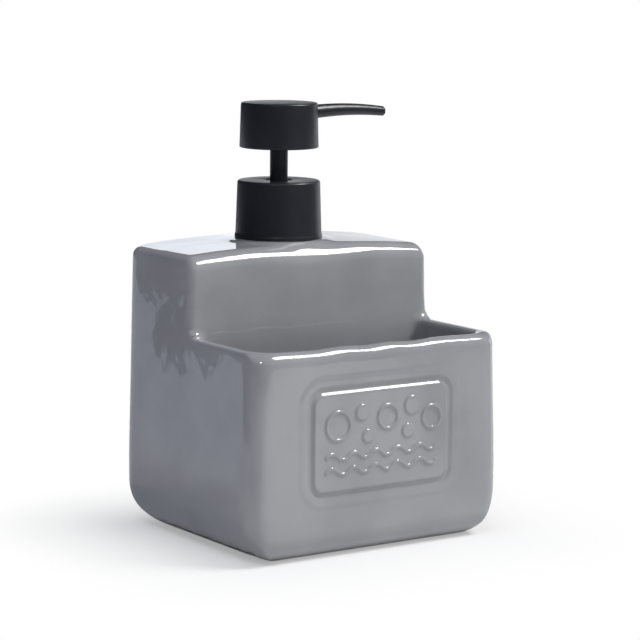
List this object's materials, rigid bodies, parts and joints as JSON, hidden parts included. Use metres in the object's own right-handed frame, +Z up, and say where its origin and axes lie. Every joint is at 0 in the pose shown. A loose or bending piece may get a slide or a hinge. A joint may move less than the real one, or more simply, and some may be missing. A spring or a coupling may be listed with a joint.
{
  "type": "soap pump caddy",
  "caption": "Glazed ceramic soap dispenser with an open sponge pocket in front, a raised front tablet and a black plunger pump with a swivelling spout.",
  "frame": {"origin": "middle of the base on the surface that it stands on", "axes": "+Z up along the pump's axis, +X to the right where the stored spout points, +Y to the back; the pocket is in front, towards -Y"},
  "size_m": [0.1152, 0.0956, 0.1639],
  "materials": {
    "glaze": "gloss grey glaze, bare clay on the foot ring",
    "satin_black": "satin black polypropylene",
    "neck_plastic": "white moulded thread insert",
    "natural_plastic": "natural translucent polypropylene",
    "gasket_foam": "soft white foam washer",
    "seal_plastic": "soft white polyethylene lip seal",
    "spring_steel": "drawn stainless wire",
    "ball_steel": "polished stainless"
  },
  "bodies": {
    "base": {"ceramic_body": "glaze", "neck_insert": "neck_plastic"},
    "pump": {"neck_gasket": "gasket_foam", "pump_housing": "natural_plastic", "stem_guide": "satin_black", "dip_tube": "natural_plastic", "return_spring": "spring_steel"},
    "closure": {"closure_cap": "satin_black", "collar_shroud": "satin_black"},
    "plunger": {"piston_core": "natural_plastic", "piston_seal": "seal_plastic"},
    "head": {"pump_stem": "satin_black", "head_core": "satin_black", "head_shell": "satin_black", "spout": "satin_black"},
    "inlet_valve": {"inlet_ball": "ball_steel"},
    "outlet_valve": {"outlet_ball": "ball_steel"}
  },
  "joints": [
    {"name": "pump_rise", "type": "slide", "parent": "base", "child": "pump", "axis": [0, 0, 1], "range_m": [0, 0.00526]},
    {"name": "closure_turn", "type": "hinge", "parent": "pump", "child": "closure", "pos_m": [0, 0.0236, 0.1265], "axis": [0, 0, 1], "range_deg": [0, 450]},
    {"name": "pump_press", "type": "slide", "parent": "pump", "child": "plunger", "axis": [0, 0, 1], "range_m": [-0.012, 0], "stiffness_N_per_m": 800, "springref_m": 0.01, "deforming": ["return_spring"]},
    {"name": "head_swivel", "type": "hinge", "parent": "plunger", "child": "head", "pos_m": [0, 0.0236, 0.14], "axis": [0, 0, 1], "continuous": true},
    {"name": "inlet_lift", "type": "slide", "parent": "pump", "child": "inlet_valve", "axis": [0, 0, 1], "range_m": [0, 0.001]},
    {"name": "outlet_lift", "type": "slide", "parent": "head", "child": "outlet_valve", "axis": [0, 0, 1], "range_m": [0, 0.001]}
  ],
  "couplings": [
    {"joint": "pump_rise", "follows": "closure_turn", "m_per_rad": 0.00066845}
  ]
}
